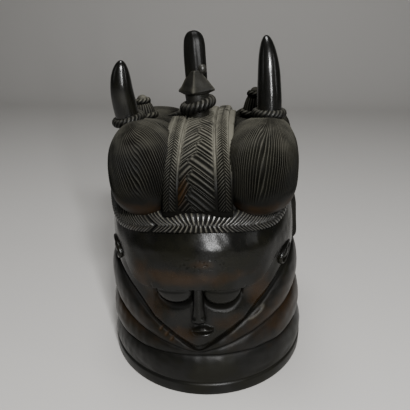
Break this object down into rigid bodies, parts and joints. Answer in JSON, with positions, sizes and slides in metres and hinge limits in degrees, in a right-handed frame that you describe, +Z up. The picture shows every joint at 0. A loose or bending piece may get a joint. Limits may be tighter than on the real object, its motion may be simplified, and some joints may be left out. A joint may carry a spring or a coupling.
{
  "type": "sowei helmet mask",
  "caption": "Hollow carved wooden helmet mask with a small downcast face, rolled neck, braided and lobed hair, cord rings and horns; stands on its rim.",
  "frame": {"origin": "centre of the rim's underside, on the surface that the mask stands on", "axes": "+Z up to the tips of the horns, the face looks along -Y, +X to the viewer's right"},
  "size_m": [0.2244, 0.2488, 0.3548],
  "materials": {
    "blackened_wood": "blackened and oiled carved wood, polished on the horns, forehead and lips, dusty on top of the hair, with brown wear"
  },
  "bodies": {
    "root": {"mask": "blackened_wood"}
  },
  "joints": []
}
